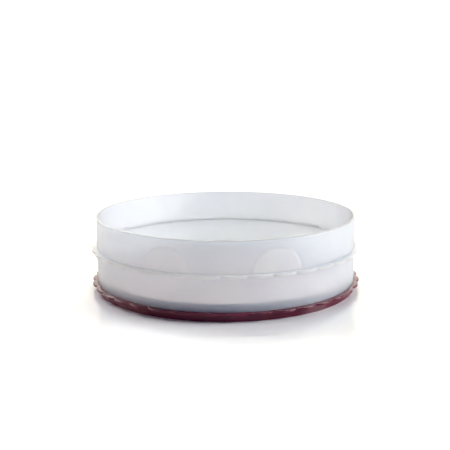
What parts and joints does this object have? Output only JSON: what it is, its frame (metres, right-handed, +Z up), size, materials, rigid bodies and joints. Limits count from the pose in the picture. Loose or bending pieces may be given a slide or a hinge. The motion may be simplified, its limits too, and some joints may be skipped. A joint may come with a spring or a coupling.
{
  "type": "stacking ring mold",
  "caption": "Round frosted stacking ring mold on a scalloped burgundy tray, for filling and unmolding a soft cheese or a cheesecake.",
  "frame": {"origin": "centre of the tray's foot, on the surface that the mold stands on", "axes": "+Z up along the axis of the rings; -Y is the front, half way between the front pair of grip pads"},
  "size_m": [0.2596, 0.2596, 0.0705],
  "materials": {
    "tray_plastic": "polished burgundy polypropylene, faintly translucent at its thin edges",
    "ring_plastic": "frosted natural polypropylene, milky and translucent"
  },
  "bodies": {
    "tray": {"base_tray": "tray_plastic"},
    "lower": {"lower_ring": "ring_plastic"},
    "upper": {"upper_ring": "ring_plastic"}
  },
  "joints": [
    {"name": "lower_ring_lift", "type": "slide", "parent": "tray", "child": "lower", "axis": [0, 0, 1], "range_m": [0, 0.06]},
    {"name": "upper_ring_lift", "type": "slide", "parent": "lower", "child": "upper", "axis": [0, 0, 1], "range_m": [0, 0.06]}
  ]
}
